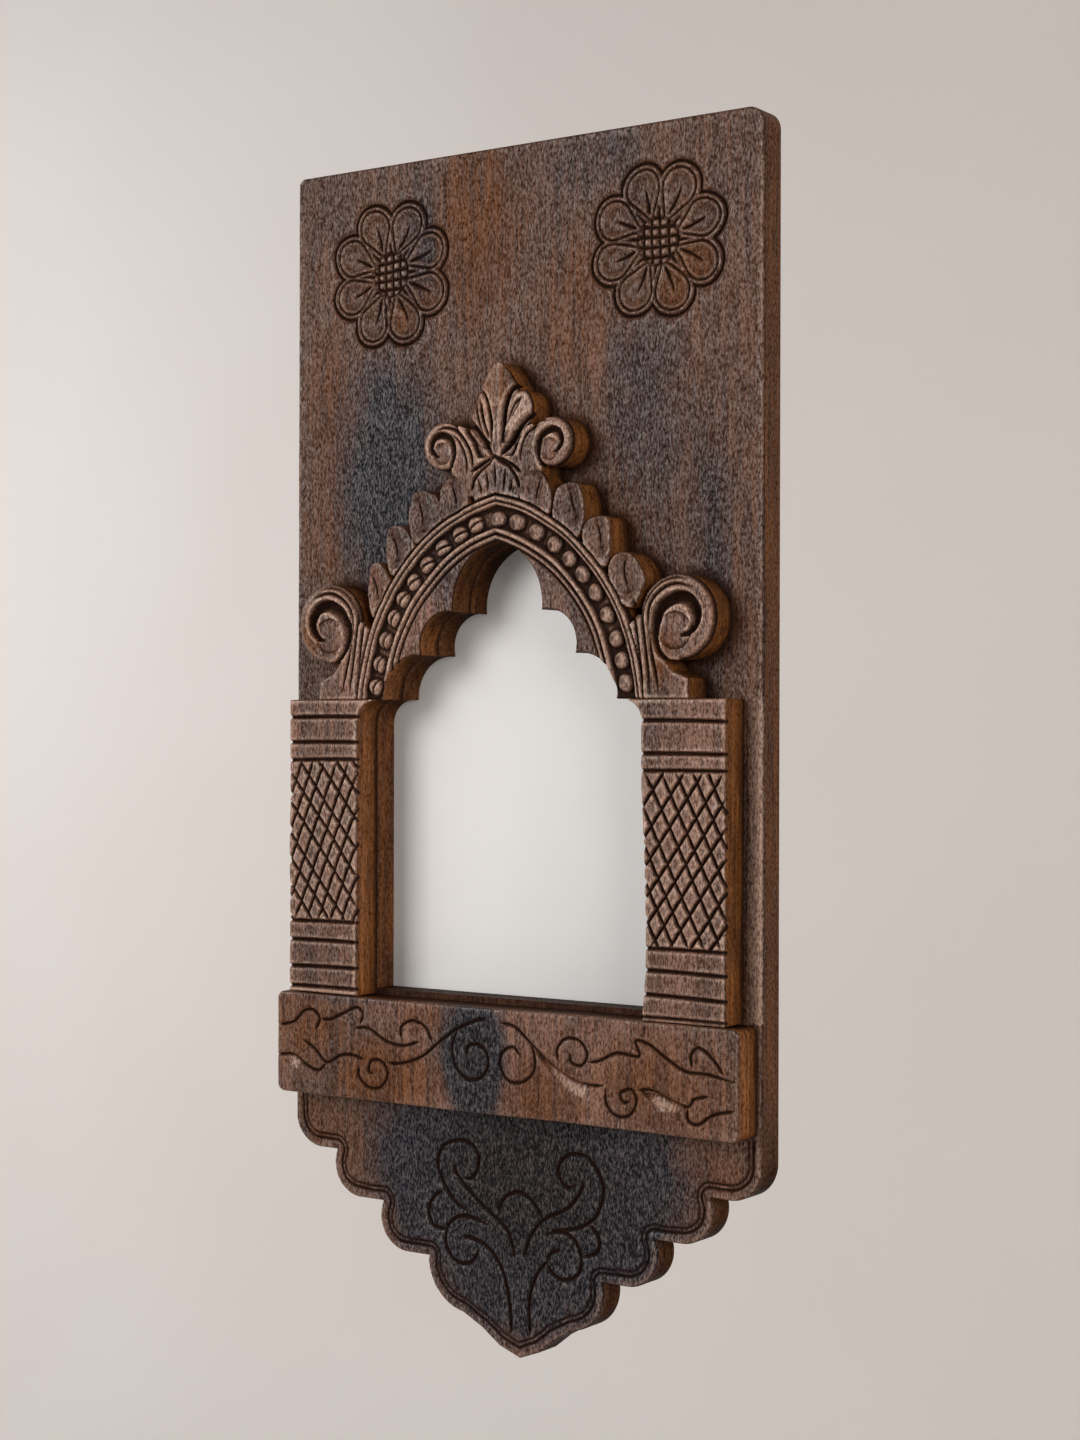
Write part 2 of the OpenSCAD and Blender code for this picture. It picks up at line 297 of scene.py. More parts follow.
class Relief:
    """A carved slab. h is the height over its front face; carving makes it negative."""

    def __init__(self, xs, zs, outline):
        self.xs, self.zs = np.asarray(xs), np.asarray(zs)
        self.x, self.z = np.meshgrid(self.xs, self.zs, indexing="ij")
        self.cells = self.filled_cells(outline)
        self.border = self.border_nodes()
        self.snap(outline)
        self.edge = np.full(self.x.shape, FAR)
        for px, pz in zip(self.x[self.border], self.z[self.border]):
            w = self.window(px - 14, px + 14, pz - 14, pz + 14)
            self.edge[w] = np.minimum(self.edge[w], np.hypot(self.x[w] - px, self.z[w] - pz))
        self.h = np.zeros(self.x.shape)
        self.cut = np.zeros(self.x.shape)
        # Where the wood shows paler, as wear and as painted sheen, and where darker, as dirt and painted
        # shade
        self.bare_and_sheen = np.zeros(self.x.shape)
        self.dirt_and_shade = np.full(self.x.shape, -1.0)

    def filled_cells(self, outline):
        cx, cz = np.meshgrid((self.xs[1:] + self.xs[:-1]) / 2, (self.zs[1:] + self.zs[:-1]) / 2,
                             indexing="ij")
        full = outline(cx, cz) < 0
        for _ in range(3):
            a, b = full[:-1, :-1], full[1:, 1:]
            c, d = full[1:, :-1], full[:-1, 1:]
            touch = (a & b & ~c & ~d) | (c & d & ~a & ~b)
            for i, j in np.argwhere(touch):
                full[i:i + 2, j:j + 2] = True
        return full

    def border_nodes(self):
        padded = np.pad(self.cells, 1)
        count = padded[:-1, :-1].astype(int) + padded[1:, :-1] + padded[:-1, 1:] + padded[1:, 1:]
        self.used = count > 0
        return (count > 0) & (count < 4)

    def snap(self, outline):
        """Moves the border's points onto the outline."""
        px, pz = self.x[self.border], self.z[self.border]
        home, e, farthest = (px, pz), 0.05, 1.2
        for _ in range(3):
            f = outline(px, pz)
            gx = (outline(px + e, pz) - outline(px - e, pz)) / (2 * e)
            gz = (outline(px, pz + e) - outline(px, pz - e)) / (2 * e)
            size = np.maximum(gx**2 + gz**2, 0.3)
            px, pz = px - f * gx / size, pz - f * gz / size
        self.x[self.border] = home[0] + (px - home[0]).clip(-farthest, farthest)
        self.z[self.border] = home[1] + (pz - home[1]).clip(-farthest, farthest)

    def window(self, x0, x1, z0, z1):
        i0, i1 = np.searchsorted(self.xs, (x0, x1))
        j0, j1 = np.searchsorted(self.zs, (z0, z1))
        return slice(i0, i1), slice(j0, j1)

    def groove(self, line, width, depth, taper=0.12, sharp=1.0):
        """A V groove along a line, thinner at its ends."""
        line = np.asarray(line, float)
        share = np.linspace(0, 1, len(line))
        reach = width / 2 + 0.5
        for k, (a, b) in enumerate(zip(line[:-1], line[1:])):
            low, high = np.minimum(a, b) - reach, np.maximum(a, b) + reach
            w = self.window(low[0], high[0], low[1], high[1])
            x, z = self.x[w], self.z[w]
            e = b - a
            t = (((x - a[0]) * e[0] + (z - a[1]) * e[1]) / max(e @ e, 1e-9)).clip(0, 1)
            d = np.hypot(x - a[0] - t * e[0], z - a[1] - t * e[1])
            s = share[k] + t * (share[k + 1] - share[k])
            size = np.minimum(np.minimum(s, 1 - s) / max(taper, 1e-6), 1) * 0.75 + 0.25
            v = (1 - d / (width / 2 * size)).clip(0) ** sharp
            self.cut[w] = np.maximum(self.cut[w], depth * size * v)

    def grooves(self, lines, *shape):
        """V grooves along some lines, each rounded."""
        for line in lines:
            self.groove(smooth(line), *shape)

    def chip(self, stem, loop, depth):
        """A one-sided slice inside a loop, deepest along its stem, kept free of the painted shade of
        hollows and paled as raw wood.
        """
        before = self.cut.copy()
        slice_w, rawness = 17, 0.62
        self.groove(stem, slice_w, depth, taper=0)
        inside = polygon(self.x, self.z, loop) < 0
        self.cut = np.where(inside, self.cut, before)
        self.bare_and_sheen[inside] = rawness

    def bevel(self, r, where=1.0):
        """Rounds the front edge."""
        d = self.edge.clip(0, r)
        self.h -= where * (r - np.sqrt(np.maximum(r**2 - (r - d) ** 2, 0)))

    def finish_carving(self, seed, wobble=0.12):
        self.h -= self.cut
        for height, cell, start in ((wobble, 17, seed), (0.05, 3.1, seed + 1)):
            self.h += height * (soft_noise(self.x, self.z, cell, start) - 1)

    def hollow(self, wear):
        """From 1 in grooves, darkened as painted shade and dirt, to -1 on ridges, which wear makes weaker
        or stronger.
        """
        mean = np.where(self.used, self.h, -2.2)
        for axis in (0, 1):
            for _ in range(2):
                mean = blurred(mean, axis, 3)
        depth = (mean - self.h) / 0.8
        depth = np.where(depth < 0, depth * wear, depth) - 1.1 * self.bare_and_sheen
        return np.maximum(depth, self.dirt_and_shade).clip(-1, 1)

    def loops(self):
        """The border as closed rings of grid nodes, the wood on their left."""
        c = np.pad(self.cells, 1)
        after = {}
        for i, j in np.argwhere(self.cells):
            if not c[i + 1, j]:
                after[(i, j)] = (i + 1, j)
            if not c[i + 2, j + 1]:
                after[(i + 1, j)] = (i + 1, j + 1)
            if not c[i + 1, j + 2]:
                after[(i + 1, j + 1)] = (i, j + 1)
            if not c[i, j + 1]:
                after[(i, j + 1)] = (i, j)
        rings = []
        while after:
            node, ring = next(iter(after)), []
            while node in after:
                ring.append(node)
                node = after.pop(node)
            rings.append(np.array(ring))
        return rings


def blurred(a, axis, n):
    """Running mean over 2n + 1 neighbours."""
    pad = [(0, 0), (0, 0)]
    pad[axis] = (n + 1, n)
    total = np.cumsum(np.pad(a, pad, mode="edge"), axis=axis)
    size = a.shape[axis]
    high = np.take(total, np.arange(2 * n + 1, size + 2 * n + 1), axis=axis)
    low = np.take(total, np.arange(size), axis=axis)
    return (high - low) / (2 * n + 1)


class MeshData:
    """Collects points, faces and the values that the wood material reads: stains, wear, painted shade and
    painted sheen.
    """

    def __init__(self):
        self.co, self.faces = [], []
        self.values = {"hollow": [], "flank": [], "blue": [], "warm": []}
        self.count = 0

    def add_points(self, x, y, z, hollow, flank, blue=0.0, warm=0.0):
        first = self.count
        shape = np.broadcast(x, y, z).shape
        self.co.append(np.stack([np.broadcast_to(v, shape) for v in (x, y, z)], -1))
        for key, v in zip(self.values, (hollow, flank, blue, warm)):
            self.values[key].append(np.broadcast_to(v, shape))
        self.count += shape[0]
        return first + np.arange(shape[0])

    def add_quads(self, a, b, c, d):
        self.faces.append(np.stack([a, b, c, d], -1))

    def add_cap(self, rings, y):
        """A flat face at y between an outer ring and its holes, facing +Y.

        A ring holds x and z, and where it ends a wall also the painted shade of each point there.
        """
        flat = np.vstack([np.column_stack([r, np.zeros(len(r))])[:, :3] for r in rings])
        ids = self.add_points(flat[:, 0], y, flat[:, 1], flat[:, 2], 1.0)
        tris = np.array(tessellate_polygon([[Vector((p[0], p[1], 0)) for p in r] for r in rings]))
        a, b, c = flat[tris[:, 0]], flat[tris[:, 1]], flat[tris[:, 2]]
        area = (b[:, 0] - a[:, 0]) * (c[:, 1] - a[:, 1]) - (b[:, 1] - a[:, 1]) * (c[:, 0] - a[:, 0])
        tris[area > 0] = tris[area > 0][:, ::-1]
        self.faces.append(ids[tris[np.abs(area) > 1e-9]])

    def add_wall(self, ring, y0, y1, dirt_and_shade=0.0, first=None, shade=0.0):
        """A wall along a ring from y0 to y1, its outside on the ring's right.

        first holds the ids of the points at y0 if they exist already, and shade says how much painted
        shade the wall gets. The wall darkens towards y1 as painted shade where it meets what lies
        behind it. Ledges darken as dirt and painted shade, undersides as painted shade. Returns the
        ring with its painted shade at y1.
        """
        along = np.roll(ring, -1, 0) - np.roll(ring, 1, 0)
        up = -along[:, 0] / np.hypot(along[:, 0], along[:, 1]).clip(1e-6)
        ledge = np.where(up > 0, up**4, -0.6 * up)
        levels = [] if first is None else [first]
        for t in (0.0, 0.03, 0.4, 0.75, 1.0)[len(levels):]:
            y = y0 + (y1 - y0) * t
            # Painted shade, partly dirt: darker towards y1 where the wall meets what lies behind it, on
            # ledges, under overhangs, and as shade says
            wall_shade = np.maximum(dirt_and_shade * t**3, (shade + 0.62 * ledge) * min(1.0, 0.4 + 3 * t))
            levels.append(self.add_points(ring[:, 0], y, ring[:, 1], wall_shade, 1.0))
        step = np.roll(np.arange(len(ring)), -1)
        for a, b in zip(levels[:-1], levels[1:]):
            self.add_quads(a, b, b[step], a[step])
        return np.column_stack([ring[:, :2], np.broadcast_to(wall_shade, len(ring))])

    def add_pocket(self, rim, y0, y1, inner=()):
        """A pocket from y0 in to y1, its floor open inside each inner ring."""
        self.add_wall(rim[::-1], y1, y0)
        self.add_cap([rim, *inner], y1)

    def build(self, name):
        mesh = bpy.data.meshes.new(name)
        co = np.vstack([c.reshape(-1, 3) for c in self.co]) * MM
        mesh.vertices.add(len(co))
        mesh.vertices.foreach_set("co", co.astype(np.float32).ravel())
        corners = np.concatenate([f.ravel() for f in self.faces])
        sizes = np.concatenate([np.full(len(f), f.shape[1]) for f in self.faces])
        mesh.loops.add(len(corners))
        mesh.loops.foreach_set("vertex_index", corners.astype(np.int32))
        mesh.polygons.add(len(sizes))
        mesh.polygons.foreach_set("loop_start", (np.cumsum(sizes) - sizes).astype(np.int32))
        mesh.update(calc_edges=True)
        for key, parts in self.values.items():
            layer = mesh.attributes.new(key, "FLOAT", "POINT")
            layer.data.foreach_set("value", np.concatenate(parts).astype(np.float32))
        weld(mesh)
        mesh.polygons.foreach_set("use_smooth", np.ones(len(mesh.polygons), bool))
        mesh.set_sharp_from_angle(angle=math.radians(SHARP_DEGREES))
        return add_object(name, mesh)


def add_object(name, data):
    made = bpy.data.objects.new(name, data)
    bpy.context.scene.collection.objects.link(made)
    return made


def weld(mesh):
    """Joins the points that two faces share."""
    bm = bmesh.new()
    bm.from_mesh(mesh)
    bmesh.ops.remove_doubles(bm, verts=bm.verts, dist=2e-6)
    bm.to_mesh(mesh)
    bm.free()


def solid_from(relief, front, back, wear, tones=None, rebate=None, pockets=()):
    """The closed mesh of a carved slab.

    rebate is the rim and the floor of a recess round its openings. Each pocket is a rim, where
    it starts, its floor and the rims of what goes on through that floor.
    """
    data = MeshData()
    used = relief.used
    index = np.full(used.shape, -1)
    x, z = relief.x[used], relief.z[used]
    blue, warm = tones(x, z) if tones else (0.0, 0.0)
    y = front - relief.h[used]
    index[used] = data.add_points(x, y, z, relief.hollow(wear)[used], 0.0, blue, warm)
    i, j = np.nonzero(relief.cells)
    data.add_quads(index[i, j], index[i + 1, j], index[i + 1, j + 1], index[i, j + 1])
    outer, holes = [], []
    for ring in relief.loops():
        nodes = ring[:, 0], ring[:, 1]
        at = np.stack([relief.x[nodes], relief.z[nodes]], -1)
        turn = np.roll(at, -1, 0)
        is_hole = np.sum(at[:, 0] * turn[:, 1] - at[:, 1] * turn[:, 0]) < 0
        end = rebate[1] if rebate and is_hole else back
        # Painted shade where the frame pieces' walls meet the board; the board gets none here
        dirt_and_shade = 0.0 if rebate else 0.7
        # Painted shade on the walls round the window, deeper up into the arch's head; the apron's walls
        # darker towards the bottom
        in_window = np.abs(opening(at[:, 0], at[:, 1])) < 2
        on_apron = ((-195 - at[:, 1]) / 30).clip(0, 1)
        shade = np.where(in_window, 0.32 * ((at[:, 1] + 30) / 90).clip(0, 1), 0.34 * on_apron)
        at = data.add_wall(at, front - relief.h[nodes], end, dirt_and_shade, index[nodes], shade)
        (holes if is_hole else outer).append(at)
    if rebate:
        data.add_pocket(rebate[0], back, rebate[1], holes)
        holes = [rebate[0]]
    for rim, start, floor, inner in pockets:
        data.add_pocket(rim, start, floor, inner)
        if start == back:
            holes.append(rim)
    data.add_cap([*outer, *holes], back)
    return data


def round_ended(cx, low, high, r):
    """An upright slot's outline, from the middle of its low end to that of its high end."""
    a = np.linspace(-math.pi, 0, 17)
    x, z = cx + r * np.cos(a), r * np.sin(a)
    return np.concatenate([np.stack([x, low + z], -1), np.stack([2 * cx - x, high - z], -1)])


def steps(*stops):
    """Grid lines: stops are start, pitch, end, pitch, end and so on."""
    lines = [np.array([stops[0]])]
    start = stops[0]
    for pitch, end in zip(stops[1::2], stops[2::2]):
        n = max(1, round((end - start) / pitch))
        lines.append(np.linspace(start, end, n + 1)[1:])
        start = end
    return np.concatenate(lines)


# ---- carving ----


def carve_rosette(relief, cx, cz, turn, seed):
    """Eight outlined petals with scooped middles round a cross-cut hub."""
    reach, waver, petals, hub_r = 42, 0.7, 8, 11
    w = relief.window(cx - reach, cx + reach, cz - reach, cz + reach)
    x = relief.x[w] - cx + waver * soft_noise(relief.x[w], relief.z[w], 14, seed)
    z = relief.z[w] - cz + waver * soft_noise(relief.x[w], relief.z[w], 14, seed + 1)
    r, a = np.hypot(x, z), np.arctan2(z, x)
    sector = 2 * math.pi / petals
    a = (a - math.radians(turn) + sector / 2) % sector - sector / 2
    along, across = r * np.cos(a), np.abs(r * np.sin(a))
    root, root_r, length, tip_r = 11.4, 3.5, 15.4, 11.8
    slope = (root_r - tip_r) / length
    lean = math.sqrt(1 - slope**2)
    u = along - root
    k = across * -slope + u * lean
    d = across * lean + u * slope - root_r
    d = np.where(k < 0, np.hypot(across, u) - root_r, d)
    d = np.where(k > lean * length, np.hypot(across, u - length) - tip_r, d)
    profile = [(-12, 2.3), (-9, 2.3), (-6.4, 1.9), (-4.8, 1.1), (-4.0, 0.2), (-3.4, 0.2),
               (-2.6, 1.9), (-1.8, 0.2), (-1.2, 0.0), (-0.7, 0.4), (0.3, 2.4), (1.3, 0.8), (2.8, 0)]
    cut = np.interp(d, *zip(*profile))
    slit = (1 - across / 0.9).clip(0) * ((along - 12) / 3).clip(0, 1) * ((28 - along) / 3).clip(0, 1)
    cut = cut + 1.5 * slit
    pitch = 4.7
    lines = np.minimum(np.abs((x + 1.2) % pitch - pitch / 2), np.abs((z + 0.6) % pitch - pitch / 2))
    hub = 0.4 + 2.2 * (1 - lines / 1.5).clip(0) + 0.6 * (r / hub_r) ** 2
    cut = np.where(r < hub_r, hub, cut)
    relief.bare_and_sheen[w] = np.where((d < -4.2) & (r > hub_r), 0.2, relief.bare_and_sheen[w])
    cut = np.maximum(cut, 2.0 * (1 - np.abs(r - 11.4) / 1.3).clip(0))
    relief.cut[w] = np.maximum(relief.cut[w], cut)


# The apron's incised plant, left of its middle and right of it
APRON_PLANT = [
    [(-1, -317), (-2.5, -300), (-7, -284), (-16, -274), (-27, -270.5), (-31, -271.5)],
    [(-20, -275), (-25, -282), (-31, -284.3), (-38, -282), (-42, -275), (-41, -267), (-36, -262),
     (-29, -260), (-15, -263)],
    [(1.5, -279), (-3, -266), (-9, -260), (-22, -251.5), (-34, -241), (-37.5, -234)],
    [(-33, -241.5), (-25, -240), (-21.5, -231), (-25, -224.5), (-32, -222.3), (-42, -225), (-47, -232),
     (-46, -240), (-38, -252), (-27, -258.5)],
    [(-44, -249), (-50, -253), (-53, -260), (-50, -267), (-41, -268.5)],
    [(10, -316), (9.5, -298), (14, -284), (21, -276)],
    [(20, -277), (23, -282), (29, -284.5), (35, -283.3), (39.5, -279), (40, -271), (36, -264),
     (28, -261), (18, -264)],
    [(20, -276), (23, -272), (28, -270)],
    [(6, -277), (10, -266), (18, -256.5), (32, -249.5), (40, -240), (41, -234)],
    [(40, -236), (32, -239), (27, -234), (27, -229), (31, -224), (38, -222), (45, -224), (51, -231),
     (53, -240), (49, -251), (41, -257), (33, -259.5), (20, -261)],
    [(45, -256), (49, -259), (51, -264), (49, -269), (41, -272)],
    [(-9, -257), (-8, -252), (-4, -247), (3, -244.5), (9, -246.5), (14, -251), (17.5, -256)],
]


def carve_board(relief):
    for n, (cx, cz) in enumerate(ROSETTES):
        carve_rosette(relief, cx, cz, 21 - 3 * n, 30 + 7 * n)
    border = np.clip((-204 - relief.z) / 3, 0, 1)
    for distance, depth in ((5.0, 1.5), (7.3, 1.2)):
        line = relief.edge + 0.4 * soft_noise(relief.x, relief.z, 11, 40) - distance
        relief.cut = np.maximum(relief.cut, border * depth * (1 - np.abs(line) / 1.15).clip(0))
    relief.grooves(APRON_PLANT, 2.8, 1.9, 0.08)
    window = opening(relief.x, relief.z)
    relief.bevel(1.2, window > 4)
    # Painted shade, partly dirt, on the board round the crest's outline and along the window's edge
    against = crest_outline(relief.x, relief.z)
    relief.dirt_and_shade = np.where(against < 7, 0.5 - 0.08 * against, -1.0)
    relief.dirt_and_shade[window < 4] = 0.4
    # Painted sheen on the strip of board right of the right pillar, from the sill up
    beside_pillar = ((relief.x - pillar_high[0]) / 4).clip(0, 1) * (relief.z > sill_high[2])
    relief.bare_and_sheen += 0.5 * beside_pillar * ((4 - relief.z) / 10).clip(0, 1)
    relief.finish_carving(11, wobble=0.1)


# A left volute in its own frame: its gap from the eye outwards, and the lines along its band
GAP = [(-2.9, -8.7), (-6.9, -7.4), (-10.4, -3.1), (-10.6, 2.4), (-6.9, 7.7), (-0.4, 9.2),
       (6.9, 5.9), (11.2, -0.4), (12.0, -8.6), (9.2, -16.4), (3.2, -21.1)]
BAND_LINES = [
    [(-10, 13.2), (0, 15.6), (8, 13), (14, 7), (15.6, -1), (14, -14), (11, -27), (9, -37)],
    [(-6, 17.3), (0, 18.4), (8, 16.6), (15, 10.5), (18.6, 2), (17.6, -9), (15.5, -24), (14, -37)],
    [(24, 10), (23.5, 4), (21.5, -9), (19.3, -24), (18, -37)],
]


def carve_volute(relief, centre, lines):
    cx, cz, r = centre
    side, k = (1 if cx < 0 else -1), r / 20.2

    def placed(line):
        return [(cx + side * k * lx, cz + k * lz) for lx, lz in line]

    relief.grooves([placed(GAP)], 6.8 * k, 6.0 * k, 0.3, 0.45)
    relief.grooves([placed(line) for line in lines], 2.6 * k, 2.0 * k, 0.15)
    ex, ez, eye_r, reach = cx + side * k * 0.6, cz - 6.4 * k, 9 * k, 10 * k
    w = relief.window(ex - reach, ex + reach, ez - reach, ez + reach)
    far = np.hypot(relief.x[w] - ex, relief.z[w] - ez) / eye_r
    relief.h[w] -= np.where(far < 1, 0.9 * far**2, 0)


# The arch's mouldings from its inner side outwards: radius, then height
MOULDING = [(60, -1.9), (88.6, -1.7), (89.6, -3.2), (90.5, -1.2), (91.6, -1.0), (92.5, -3.0),
            (93.6, -0.8), (95.0, -0.5), (96.0, -4.0), (97.5, -4.4), (104.5, -4.4), (106.0, -3.6),
            (106.8, -1.0), (107.6, -0.7), (108.3, -2.3), (109.0, -0.4), (110.2, -0.2), (110.9, -1.2),
            (111.5, -3.4), (112.2, -3.4), (113.2, -1.6), (122, -0.8), (140, 0.0)]
BEAD_LINE = 101.0
BEAD_R = 4.5
BEADS_A_SIDE = 10
CROWN = [(-15.5, 94), (-14.8, 103), (-12.8, 109), (-8.5, 113.3), (-4, 116.3), (-0.8, 119.6),
         (3, 116.8), (7.5, 114.4), (12, 109), (14.6, 103), (15.2, 94)]
CROWN_SLITS = [
    [(-11.2, 110), (-9, 104), (-8.2, 101)],
    [(-6.3, 114), (-4.8, 107.5), (-4.3, 102)],
    [(-0.5, 117), (-0.2, 110), (0, 104)],
    [(6, 113.5), (5.4, 107), (5, 102)],
    [(10.4, 109), (9.2, 104), (8.6, 101)],
]


def carve_bead(relief, x, z, side, tilt, seed):
    """A domed bead, slit across on the left side and sliced off aslant on the right."""
    w = relief.window(x - 6, x + 6, z - 6, z + 6)
    dx, dz = relief.x[w] - x, relief.z[w] - z
    a = math.radians(tilt)
    across = dx * math.sin(a) - dz * math.cos(a)
    r = np.hypot(dx, dz) * (1 + 0.1 * soft_noise(relief.x[w], relief.z[w], 4, seed))
    dome = -4.6 + 4.4 * np.sqrt((1 - (r / BEAD_R) ** 2).clip(0))
    if side < 0:
        dome -= 2.2 * (1 - np.abs(across)).clip(0)
    else:
        dome = np.minimum(dome, -0.6 + 0.5 * across)
    relief.h[w] = np.where(r < BEAD_R, np.maximum(dome, relief.h[w]), relief.h[w])


def carve_crest(relief):
    x, z = relief.x, relief.z
    radius = arc_radius(x, z) + 0.5 * soft_noise(x, z, 19, 51)
    volute = any_of(*[disc(x, z, *v) for v in VOLUTES], polygon(np.abs(x), z, STEM_FOOT))
    outside = (radius > ARCH_R - 0.2) & (volute < ON_RIM)
    relief.h = np.where(outside, 0.0, np.interp(radius, *zip(*MOULDING)))
    for side in (-1, 1):
        for n in range(BEADS_A_SIDE):
            bx, bz = arc_point(side, BEAD_LINE, 8.3 + 6.67 * n + 0.5 * math.sin(5 * n + side))
            tilt = 66 - 4 * n + 14 * math.sin(7 * n) if side < 0 else 70 + 5 * n
            carve_bead(relief, bx, bz, side, tilt, 60 + n)
    carve_bead(relief, 0.5, 88.2, 1, 80, 59)
    on_leaf = (rounded(x, z, LEAVES) < ON_RIM) & (radius > ARCH_R)
    relief.h = np.where(on_leaf, -0.7 - 0.03 * (radius - ARCH_R), relief.h)
    relief.grooves(SLITS, 12, 2.1, 0, 0.8)
    relief.grooves(SLITS, 2.6, 3.6, 0.25)
    crown = polygon(x, z, CROWN)
    on_crown = (crown < 0) & (radius > ARCH_R)
    relief.h = np.where(on_crown, -0.5 - 0.12 * (crown + 6).clip(0), relief.h)
    relief.cut = np.where(on_crown, 0.0, relief.cut)
    relief.grooves(CROWN_SLITS, 2.2, 1.8, 0.4)
    relief.grooves([CROWN[1:-1]], 2.4, 2.6, 0.03)
    carve_finial(relief)
    for centre in VOLUTES:
        carve_volute(relief, centre, BAND_LINES)
    for centre in SCROLLS:
        carve_volute(relief, centre, [])
    rims = any_of(*[disc(x, z, *v) for v in VOLUTES + SCROLLS]) < ON_RIM
    relief.bevel(3.4, rims & ((z > 36) | (np.abs(x) > 106)))
    relief.bevel(0.9)
    relief.finish_carving(21, wobble=0.2)


# The finial's cuts: a line, its width and its depth
FINIAL_CUTS = [
    ([(3.4, 124), (4.4, 136), (5.6, 144), (8.5, 151), (13, 153.6), (18, 152)], 3.4, 4.4),
    ([(6, 134.5), (8.3, 140), (11.5, 145), (16, 147.6)], 2.4, 3.0),
    ([(8.4, 137), (11.6, 142), (15.4, 147)], 1.8, 1.8),
    ([(-2.5, 124), (-3.4, 134), (-5, 144), (-8, 151)], 3.0, 3.4),
    ([(-5, 128), (-8.4, 138), (-10.6, 148.5)], 2.2, 3.0),
    ([(-7, 127), (-11, 137), (-12.6, 146)], 1.8, 2.0),
    ([(-37, 133.6), (-30, 135.3), (-23, 132.8), (-17.5, 127), (-14.2, 120), (-13.6, 111)], 2.4, 2.6),
    ([(-29, 132.6), (-23.5, 129.6), (-19.6, 124.6), (-17.4, 118), (-17.2, 111)], 1.8, 1.8),
    ([(-24, 141), (-16, 136), (-9, 128.6), (-1, 118.6)], 5.2, 4.6),
    ([(9.6, 117), (11.8, 126), (17, 132.4), (24, 135.4), (32, 134.8)], 2.2, 2.4),
    ([(14.8, 116), (16.4, 124), (20.4, 130), (27, 133.2)], 1.8, 1.8),
    ([(3, 119), (9, 126.5), (15.5, 135), (24, 140.6)], 4.6, 4.6),
    ([(-15, 112.5), (-9, 115.6), (-1, 120)], 2.8, 3.4),
    ([(15.4, 110.5), (9.5, 114.8), (-1, 120)], 2.8, 3.4),
]


def carve_finial(relief):
    """A ridged middle leaf between two slit side leaves, over two scrolls' stems."""
    x, z = relief.x, relief.z
    middle = rounded(x, z, [FINIAL_LEAF]) < ON_RIM
    side_leaves = rounded(x, z, [FINIAL_LEFT, FINIAL_RIGHT])
    ridge = 2.8
    slope = np.where(x < ridge, -0.2 * (ridge - x), -0.3 * (x - ridge))
    relief.h = np.where(middle & (z > 119), (slope - 0.1).clip(-5, 0), relief.h)
    leaf_h = -1.1 - 1.2 * (x < 0) - 0.25 * (side_leaves + 4).clip(0)
    relief.h = np.where((side_leaves < ON_RIM) & (z > 121), leaf_h, relief.h)
    # Painted highlight on the right side leaf; on the middle leaf's upper left face wear and painted
    # light
    relief.bare_and_sheen[(side_leaves < -1) & (x > 0) & (z > 132)] = 0.5
    relief.bare_and_sheen[middle & (z > 144) & (x < ridge)] = 0.3
    for line, width, depth in FINIAL_CUTS:
        relief.grooves([line], width, depth, 0.2)


PILLAR_BANDS = {-1: (-9, -22, -31, -114.5, -124.5, -138, -148.5),
                1: (-10.5, -26, -34, -117.5, -128, -139.5, -150)}
# Slope and upright spacing of the two sets of crossing cuts on each pillar
PILLAR_LATTICE = {-1: ((-1.2, 14.5), (2.3, 18.0)), 1: ((-1.95, 17.0), (1.4, 14.5))}


def carve_pillar(relief):
    """Cut bands above and below a panel of crossing cuts."""
    side = -1 if relief.xs[0] < 0 else 1
    bands = PILLAR_BANDS[side]
    x0, x1 = relief.xs[0] - 1, relief.xs[-1] + 1
    rng = np.random.default_rng(70 + side)
    for z in bands:
        lean = rng.uniform(-0.6, 0.6)
        relief.groove(smooth([(x0, z - lean), ((x0 + x1) / 2, z + 0.3), (x1, z + lean)]), 2.8, 2.1, 0)
    top, low = bands[2], bands[3]
    inner, outer = sorted((side * (PILLAR_IN - 1), side * (pillar_high[0] + 1)))
    for slope, gap in PILLAR_LATTICE[side]:
        reach = abs(slope) * (outer - inner)
        first = top + reach if slope < 0 else top
        last = low if slope < 0 else low - reach
        for start in np.arange(first - 4, last, -gap):
            c = start + rng.uniform(-1.2, 1.2)
            ends = np.sort(np.clip((np.array([top, low]) - c) / slope + inner, inner, outer))
            if ends[1] - ends[0] < 3:
                continue
            xs = np.linspace(ends[0], ends[1], 5)
            bow = rng.uniform(-0.8, 0.8) * np.sin(np.linspace(0, math.pi, 5))
            relief.groove(np.stack([xs + bow, c + slope * (xs - inner)], -1), 2.7, 2.6, taper=0.08)
    relief.bevel(1.1)
    relief.finish_carving(80 + side, wobble=0.2)


